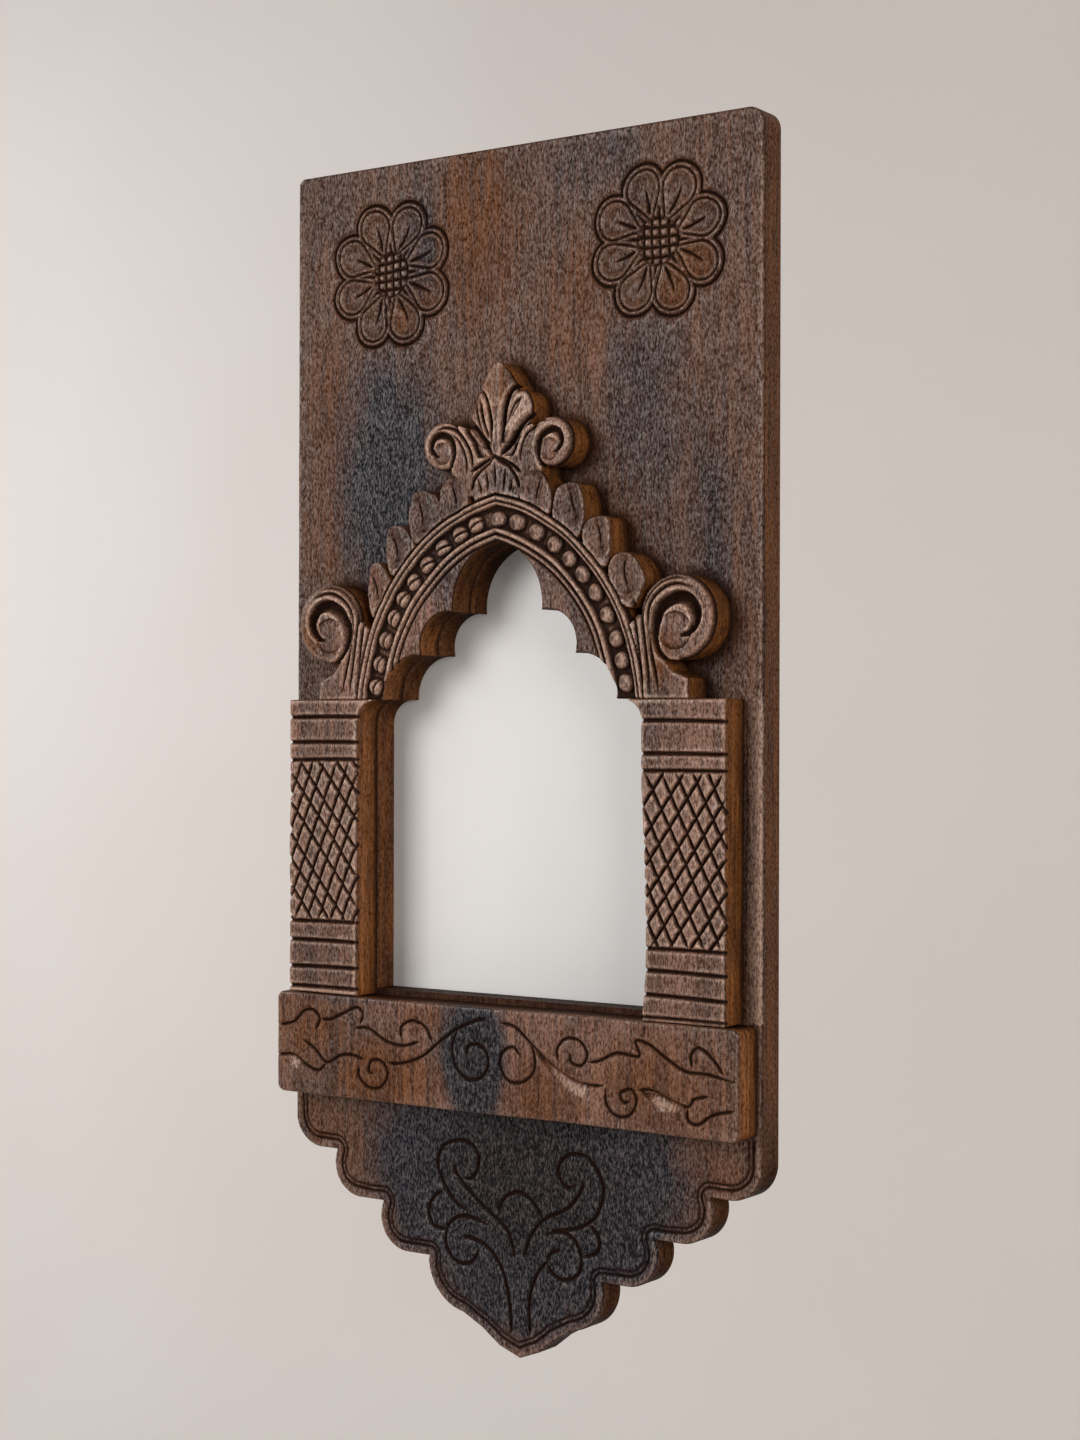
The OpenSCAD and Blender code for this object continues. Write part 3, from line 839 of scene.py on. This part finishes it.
# The sill's incised vine, each branch a line
VINE = [
    [(-139, -170), (-128, -167.5), (-121, -161.5), (-115, -160.5), (-110.5, -164.5), (-113, -171)],
    [(-111, -165), (-103, -164.5), (-95, -161), (-86, -157.3), (-82, -160.5), (-84, -166.5)],
    [(-88, -168), (-78, -167.5), (-67, -173), (-56, -174.5), (-45, -171.5)],
    [(-57, -171), (-57, -165), (-50, -161.5), (-42, -164), (-37, -172)],
    [(-67, -184), (-57, -183.5), (-44, -179), (-32, -170), (-21, -163), (-9, -158), (-4, -157.8)],
    [(-21, -163), (-25, -172), (-23, -182), (-15, -188), (-6, -185.5), (-3, -177), (-8, -170.5),
     (-15, -171.5), (-16, -177.5)],
    [(-139, -185.5), (-128, -184.7), (-119, -189.5), (-111, -191.5), (-106, -187)],
    [(-122, -176), (-113, -181), (-106, -187), (-96, -182.5), (-88, -182), (-80, -184)],
    [(-84, -186), (-84.5, -192), (-79, -197), (-71, -197), (-66, -190.5), (-69, -184), (-76, -183.5),
     (-78, -189), (-74, -190.5)],
    [(4, -158.5), (13, -160), (22, -167), (33, -175.5), (46, -182.5), (57, -184.5), (65, -184)],
    [(66, -185), (66, -192), (71, -197.5), (79, -197), (83, -190), (80, -184.5), (74, -187),
     (76, -191), (80, -190)],
    [(17, -174.5), (12, -170), (6, -172.5), (4, -179), (9, -186.5), (18, -186.3), (24.5, -180),
     (24, -171), (20.5, -167)],
    [(39, -176), (37.8, -169), (43, -163.3), (51, -164), (55, -170), (52, -175.5), (46, -174.5),
     (45.5, -169.5)],
    [(54, -174), (62, -172.5), (72, -168), (84.5, -168.5), (82.5, -161.5), (90, -162.5), (99, -168),
     (110, -173.5), (122, -174), (137, -176.5)],
    [(131, -174), (124, -166), (117, -162), (113, -166), (113.5, -172)],
    [(83, -184.5), (92, -184), (102, -187.5), (111, -190), (115, -186), (123, -184)],
    [(111, -190), (111.5, -196), (117, -197.6), (125, -192.5), (137, -189.5)],
]
# Sliced chips under the stems: the stem's line, the chip's outline and its depth
CHIPS = [
    ([(25, -170.5), (33, -176.5), (46, -183), (57, -185.5)],
     [(25, -170.5), (33, -176.5), (46, -183), (57, -185.5), (57, -192), (50, -190.5), (43, -187),
      (36, -182), (30, -176)], 1.9),
    ([(86, -185), (97, -186), (103, -188.5), (110, -190.5)],
     [(86, -185), (97, -186), (103, -188.5), (110, -190.5), (104, -194), (98, -193.3),
      (92, -189.8)], 1.9),
    ([(-134, -185), (-128, -185), (-122, -188)],
     [(-133, -185.5), (-127, -185.5), (-122, -188.5), (-125, -192.5), (-130, -189.5)], 1.5),
]


def carve_sill(relief):
    relief.grooves(VINE, 2.7, 1.7, 0.08)
    for stem, loop, depth in CHIPS:
        relief.chip(smooth(stem), loop, depth)
    relief.bevel(1.1)
    relief.finish_carving(90, wobble=0.15)


# Stained patches on the board, except the four small warm ones on the rosettes' lower-right petals, which
# are painted highlights: middle, half sizes and strength
BOARD_BLUE = [(-80, 112, 46, 84, 1.0), (-62, 236, 20, 60, 0.6), (78, 138, 34, 60, 0.55),
              (45, 262, 34, 26, 0.55), (8, -238, 112, 78, 1.6), (2, -284, 74, 46, 1.1),
              (112, 60, 18, 90, 0.5)]
BOARD_WARM = [(-24, 236, 36, 60, 1.1), (34, 190, 28, 54, 0.7), (104, 208, 13, 11, 1.3),
              (91, 196, 11, 13, 1.3), (-60, 206, 12, 11, 1.1), (-72, 197, 10, 12, 1.1),
              (-120, 120, 18, 130, 0.6), (62, 70, 20, 80, 0.5), (-122, -220, 26, 26, 0.5),
              (118, -226, 30, 24, 0.4)]
# The same on the sill
SILL_BLUE = [(-12, -176, 26, 44, 1.35), (-98, -151, 50, 7, 0.5)]
SILL_WARM = [(-66, -190, 50, 24, 1.2), (30, -192, 36, 30, 0.9), (100, -182, 60, 36, 0.8),
             (-118, -172, 36, 30, 0.9), (-44, -160, 22, 12, 0.8)]
# The same on the crest
CREST_BLUE = [(-50, 84, 60, 56, 0.44), (0, 106, 30, 14, 0.4)]
CREST_WARM = [(-5, 154, 17, 19, 1.8), (-119, 32, 12, 18, 1.1), (94, 20, 14, 20, 1.2),
              (120, 44, 12, 16, 0.7)]


def patchy(blue_patches, warm_patches):
    """How blue-black and how warm the wood is at each point, from stains and a few painted highlights."""
    def tones(x, z):
        found = []
        for patches in (blue_patches, warm_patches):
            value = np.zeros(x.shape)
            for cx, cz, rx, rz, strength in patches:
                far = np.hypot((x - cx) / rx, (z - cz) / rz).clip(0, 1)
                value = np.maximum(value, strength * (1 - far**2))
            found.append(value)
        return found
    return tones


# ---- materials ----


class Nodes:
    """Short names for building a node material."""

    def __init__(self, name):
        self.material = bpy.data.materials.new(name)
        self.material.use_nodes = True
        self.tree = self.material.node_tree
        self.shader = self.tree.nodes["Principled BSDF"]

    def put(self, kind, inputs=(), **settings):
        node = self.tree.nodes.new(kind)
        for key, value in settings.items():
            setattr(node, key, value)
        for key, value in dict(inputs).items():
            self.join(node.inputs[key], value)
        return node

    def join(self, socket, value):
        if isinstance(value, bpy.types.NodeSocket):
            self.tree.links.new(value, socket)
        else:
            socket.default_value = value

    def place(self, scale):
        coords = self.put("ShaderNodeTexCoord").outputs["Object"]
        return self.put("ShaderNodeMapping", {"Vector": coords, "Scale": scale}).outputs["Vector"]

    def noise(self, scale, detail=4.0, rough=0.55, warp=0.0):
        inputs = {"Vector": self.place(scale), "Scale": 1.0, "Detail": detail,
                  "Roughness": rough, "Distortion": warp}
        return self.put("ShaderNodeTexNoise", inputs).outputs["Fac"]

    def ramp(self, value, low, high, out_low=0.0, out_high=1.0):
        inputs = {"Value": value, "From Min": low, "From Max": high,
                  "To Min": out_low, "To Max": out_high}
        return self.put("ShaderNodeMapRange", inputs, clamp=True).outputs["Result"]

    def math(self, kind, a, b=0.5):
        return self.put("ShaderNodeMath", {0: a, 1: b}, operation=kind).outputs[0]

    def value(self, name):
        return self.put("ShaderNodeAttribute", attribute_name=name).outputs["Fac"]

    def mix(self, share, a, b, blend="MIX"):
        node = self.put("ShaderNodeMix", data_type="RGBA", blend_type=blend)
        self.join(node.inputs[0], share)
        self.join(node.inputs[6], a)
        self.join(node.inputs[7], b)
        return node.outputs[2]

    def bump(self, height, strength, distance, normal=None):
        inputs = {"Height": height, "Strength": strength, "Distance": distance}
        if normal is not None:
            inputs["Normal"] = normal
        return self.put("ShaderNodeBump", inputs).outputs["Normal"]

    def finish(self, **sockets):
        for key, value in sockets.items():
            self.join(self.shader.inputs[key.replace("_", " ")], value)
        return self.material


def rgb(r, g, b):
    """A display colour as linear light."""
    return (*[((c / 255 + 0.055) / 1.055) ** 2.4 if c > 10 else c / 3295 for c in (r, g, b)], 1.0)


def stained_wood(name, pale, dark, side, wear, gloss):
    """Dark stained, waxed wood with streaks along the grain, cuts darkened as dirt and painted shade,
    worn edges and some painted sheen.

    side is the darker and the paler tone of the sides, gloss the least and the most roughness.
    """
    n = Nodes(name)
    streak = n.noise((420, 420, 20), 4, 0.6, 0.5)
    fleck = n.noise((1150, 1150, 480), 3, 0.62)
    broad = n.noise((30, 30, 7), 4, 0.55, 0.6)
    cloud = n.noise((52, 52, 20), 4, 0.6, 0.4)
    colour = n.mix(n.ramp(streak, 0.34, 0.66), dark, pale)
    colour = n.mix(n.ramp(broad, 0.45, 0.66, 0.0, 0.6), colour, rgb(38, 27, 24))
    edge = n.math("MULTIPLY", n.math("SUBTRACT", cloud, 0.5), 1.1)
    blue = n.ramp(n.math("ADD", n.value("blue"), edge), 0.15, 0.8, 0.0, 0.95)
    deep = n.ramp(n.value("blue"), 0.9, 1.5)
    warm = n.ramp(n.math("ADD", n.value("warm"), edge), 0.2, 1.0, 0.0, 0.8)
    amber = n.mix(n.ramp(streak, 0.35, 0.65), rgb(62, 34, 16), rgb(108, 64, 30))
    # Amber stain, and painted highlights on the rosettes' lower-right petals
    colour = n.mix(warm, colour, amber)
    ink = n.mix(n.ramp(fleck, 0.36, 0.64), rgb(17, 18, 24), rgb(36, 38, 47))
    colour = n.mix(blue, colour, ink)
    colour = n.mix(n.math("MULTIPLY", deep, 0.55), colour, rgb(30, 25, 22))
    flank = n.value("flank")
    side_tone = n.mix(n.ramp(streak, 0.32, 0.68), *side)
    side_tone = n.mix(n.ramp(cloud, 0.42, 0.64, 0.0, 0.55), side_tone, rgb(56, 30, 14))
    colour = n.mix(n.math("MULTIPLY", flank, 0.95), colour, side_tone)
    pit = n.ramp(fleck, 0.36, 0.46, 1.0, 0.0)
    colour = n.mix(n.math("MULTIPLY", pit, 0.7), colour, rgb(14, 8, 7))
    bright = n.ramp(fleck, 0.54, 0.68)
    colour = n.mix(n.math("MULTIPLY", bright, 0.14), colour, rgb(160, 126, 108))
    hollow = n.value("hollow")
    # Painted shade with dirt: dark in cuts, on ledges, under overhangs and where parts meet
    colour = n.mix(n.ramp(hollow, 0.06, 0.65, 0.0, 0.95), colour, rgb(32, 19, 14))
    # Worn edges paler, and painted sheen where the carving marks it, beside the right pillar and on the
    # finial
    wear_and_sheen = n.ramp(hollow, -0.2, -0.85, 0.0, wear)
    wear_and_sheen = n.math("MULTIPLY", wear_and_sheen, n.ramp(fleck, 0.38, 0.56, 0.35, 1.0))
    colour = n.mix(wear_and_sheen, colour, rgb(184, 150, 130))
    rough = n.ramp(streak, 0.3, 0.7, *gloss)
    wax = n.ramp(fleck, 0.44, 0.66, 0.04, 0.68)
    wax = n.math("MULTIPLY", wax, n.ramp(hollow, -0.3, 0.35, 1.7, 0.08))
    for less, share in ((warm, 0.55), (deep, 0.45), (flank, 0.4)):
        wax = n.math("MULTIPLY", wax, n.ramp(less, 0.0, 1.0, 1.0, 1.0 - share))
    normal = n.bump(fleck, 0.8, 0.0008)
    normal = n.bump(streak, 0.6, 0.0006, normal)
    return n.finish(Base_Color=colour, Roughness=rough, Normal=normal, Specular_IOR_Level=wax)


def pale_painted_mirror():
    """Mirror glass painted an even pale colour, a painted reflection of a pale room, with a few black
    specks.
    """
    n = Nodes("pale_painted_mirror")
    pale_wash = n.noise((9, 9, 6), 3, 0.5)
    speck = n.put("ShaderNodeTexVoronoi", {"Vector": n.place((26, 26, 26)), "Scale": 1.0,
                                           "Randomness": 1.0}).outputs["Distance"]
    dot = n.ramp(speck, 0.014, 0.024, 1.0, 0.0)
    # Painted reflection: the pale colour stands in for the room the glass would show
    colour = n.mix(n.ramp(pale_wash, 0.35, 0.65), rgb(199, 198, 197), rgb(204, 203, 202))
    colour = n.mix(dot, colour, rgb(20, 20, 20))
    return n.finish(Base_Color=colour, Roughness=0.5, Specular_IOR_Level=0.35)


def hardboard():
    n = Nodes("hardboard")
    fibre = n.noise((700, 700, 700), 5, 0.7, 1.2)
    broad = n.noise((20, 20, 20), 3, 0.5)
    colour = n.mix(n.ramp(fibre, 0.3, 0.7), rgb(92, 60, 38), rgb(134, 96, 64))
    colour = n.mix(n.ramp(broad, 0.4, 0.7, 0.0, 0.4), colour, rgb(80, 54, 36))
    return n.finish(Base_Color=colour, Roughness=0.62, Normal=n.bump(fibre, 0.3, 0.0003))


def zinc_steel():
    n = Nodes("zinc_steel")
    brushed = n.noise((2200, 2200, 90), 3, 0.6)
    spots = n.noise((240, 240, 240), 3, 0.6)
    colour = n.mix(n.ramp(spots, 0.45, 0.7), rgb(176, 176, 172), rgb(126, 122, 112))
    rough = n.ramp(brushed, 0.3, 0.7, 0.28, 0.46)
    normal = n.bump(brushed, 0.1, 0.0001)
    return n.finish(Base_Color=colour, Roughness=rough, Metallic=1.0, Normal=normal)


def felt():
    n = Nodes("felt")
    fuzz = n.noise((1800, 1800, 1800), 6, 0.75, 1.5)
    colour = n.mix(n.ramp(fuzz, 0.3, 0.7), rgb(26, 26, 28), rgb(62, 60, 60))
    normal = n.bump(fuzz, 0.8, 0.0006)
    return n.finish(Base_Color=colour, Roughness=0.95, Sheen_Weight=0.4, Normal=normal)


def studio_paper():
    n = Nodes("studio_paper")
    cloud = n.noise((1.4, 1.4, 1.4), 2, 0.5)
    colour = n.mix(n.ramp(cloud, 0.3, 0.7), rgb(226, 219, 215), rgb(230, 224, 220))
    return n.finish(Base_Color=colour, Roughness=0.9)


# ---- pieces ----


board_wood = stained_wood("board_wood", rgb(97, 65, 48), rgb(60, 39, 29),
                          side=(rgb(62, 33, 14), rgb(118, 70, 32)), wear=0.8, gloss=(0.32, 0.44))
frame_wood = stained_wood("frame_wood", rgb(126, 90, 73), rgb(71, 49, 39),
                          side=(rgb(84, 48, 22), rgb(160, 100, 49)), wear=0.8, gloss=(0.27, 0.38))


def carved_piece(data, node, material):
    piece = data.build("carved_" + node)
    piece.data.materials.append(material)
    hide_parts(node)
    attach(piece, BODY)


def plate_pockets():
    """For each hanging plate its recess, and a keyhole's pocket behind it."""
    middle = (plate_low + plate_high) / 2
    clear, floor = 0.2, plate_low[1] - HAIR
    r = (plate_high[0] - plate_low[0]) / 2 + clear
    end = (plate_high[2] - plate_low[2]) / 2 + clear - r
    pockets = []
    for cx in (-middle[0], middle[0]):
        keyhole = round_ended(cx, middle[2], middle[2] + SLOT_L - KEYHOLE_R, KEYHOLE_R)
        recess = round_ended(cx, middle[2] - end, middle[2] + end, r)
        pockets.append((recess, BOARD_BACK, floor, [keyhole]))
        pockets.append((keyhole, floor, BOARD_BACK - POCKET_D, []))
    return pockets


def make_board():
    fine, margin = 0.7, 0.5
    xs = steps(board_low[0] - 0.35, fine, board_high[0] + 0.35)
    zs = steps(TIP_Z - 0.7, fine, -202, 4, -152, 0.8, -148, 5, -22, 1, 84, 4, 180, 0.6, 260, 3, 264,
               0.8, board_high[2] + 0.4)
    relief = Relief(xs, zs, board_outline)
    carve_board(relief)
    (x0, _, z0), (x1, _, z1) = glass_low - margin, glass_high + margin
    rebate = np.array([(x0, z0), (x1, z0), (x1, z1), (x0, z1)])
    data = solid_from(relief, BOARD_FRONT, BOARD_BACK, 0.4, patchy(BOARD_BLUE, BOARD_WARM),
                      (rebate, GLASS_FRONT), plate_pockets())
    carved_piece(data, "backboard", board_wood)


def make_frame_piece(node, pitch, margins, outline, carve, wear, tones=None):
    """A carved piece that stands on the board.

    margins is how far its grid reaches past the CAD node aside, below and above.
    """
    low, high = node_mm(node)
    aside, below, above = margins
    xs = steps(low[0] - aside, pitch, high[0] + aside)
    zs = steps(round(low[2] - below, 11), pitch, high[2] + above)
    relief = Relief(xs, zs, outline)
    carve(relief)
    data = solid_from(relief, FRAME_FRONT, BOARD_FRONT, wear, tones)
    carved_piece(data, node, frame_wood)


make_board()
make_frame_piece("arch_crest", 0.5, (1.5, 0.25, 0.75), crest_outline, carve_crest, 0.7,
                 patchy(CREST_BLUE, CREST_WARM))
for side, node in ((-1, "left_pillar"), (1, "right_pillar")):
    make_frame_piece(node, 0.55, (0.6, 0.4, 0.4), pillar_outline(side), carve_pillar, 0.8)
make_frame_piece("sill_rail", 0.55, (0.5, 0.5, 0.5), sill_outline, carve_sill, 0.35,
                 patchy(SILL_BLUE, SILL_WARM))

# The CAD's own pieces, which only need a material
plain = {"mirror_glass": pale_painted_mirror(), "back_cover": hardboard(),
         "left_wall_pad": felt(), "right_wall_pad": felt()}
steel = zinc_steel()
for name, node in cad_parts.items():
    if "screws" in name or "plate" in name:
        plain[name] = steel
    if name in plain:
        node.data.materials.clear()
        node.data.materials.append(plain[name])


# ---- camera, light and studio ----


def make_camera():
    data = bpy.data.cameras.new("camera")
    data.lens = 60.0
    data.sensor_width = 36.0
    camera = add_object("camera", data)
    camera.location = (0.687, -0.9941, -0.0109)
    pitch, roll, yaw = math.radians(90.035), math.radians(0.149), math.radians(34.55)
    turn = Matrix.Rotation(yaw, 4, "Z") @ Matrix.Rotation(pitch, 4, "X") @ Matrix.Rotation(roll, 4, "Z")
    camera.rotation_euler = turn.to_euler()
    bpy.context.scene.camera = camera


def area_light(name, place, aim, size, power, colour):
    data = bpy.data.lights.new(name, "AREA")
    data.shape = "RECTANGLE"
    data.size, data.size_y = size
    data.energy = power
    data.color = colour
    light = add_object(name, data)
    light.visible_camera = False
    light.location = place
    light.rotation_euler = (Vector(aim) - Vector(place)).to_track_quat("-Z", "Y").to_euler()


def make_studio():
    """One sheet of pale paper: a wall behind that curves into the floor."""
    front_y, wall_y, floor_z, top_z, bend, half_w = -4.5, 2.4, -1.5, 3.2, 0.6, 5.0
    line = [(front_y, floor_z), (wall_y - bend, floor_z)]
    bend_steps = 12
    for k in range(1, bend_steps + 1):
        a = math.pi / 2 * k / bend_steps
        line.append((wall_y - bend + bend * math.sin(a), floor_z + bend * (1 - math.cos(a))))
    line.append((wall_y, top_z))
    points = [(x, y, z) for y, z in line for x in (-half_w, half_w)]
    faces = [(2 * k, 2 * k + 1, 2 * k + 3, 2 * k + 2) for k in range(len(line) - 1)]
    mesh = bpy.data.meshes.new("studio_paper")
    mesh.from_pydata(points, [], faces)
    mesh.polygons.foreach_set("use_smooth", [True] * len(faces))
    mesh.materials.append(studio_paper())
    add_object("studio_paper", mesh)


def make_light():
    world = bpy.data.worlds.new("studio")
    world.use_nodes = True
    background = world.node_tree.nodes["Background"]
    background.inputs["Color"].default_value = (1.0, 0.98, 0.96, 1.0)
    background.inputs["Strength"].default_value = 0.2
    bpy.context.scene.world = world
    area_light("room", (-1.75, -2.55, 0.15), (0, 0, 0), (2.6, 2.2), 20, (1.0, 0.99, 0.98))
    area_light("key", (-1.2, -2.4, 0.85), (0, 0, 0), (1.4, 1.4), 54, (1.0, 0.98, 0.96))
    area_light("side", (2.1, -1.2, 0.3), (0, 0, 0), (1.2, 1.2), 32, (1.0, 0.95, 0.9))
    area_light("backdrop", (-3.4, 0.9, 0.35), (-2.5, 2.4, 0.1), (0.8, 2.6), 19.5, (1.0, 1.0, 1.0))


make_camera()
make_studio()
make_light()
bpy.context.scene.view_settings.view_transform = "Standard"
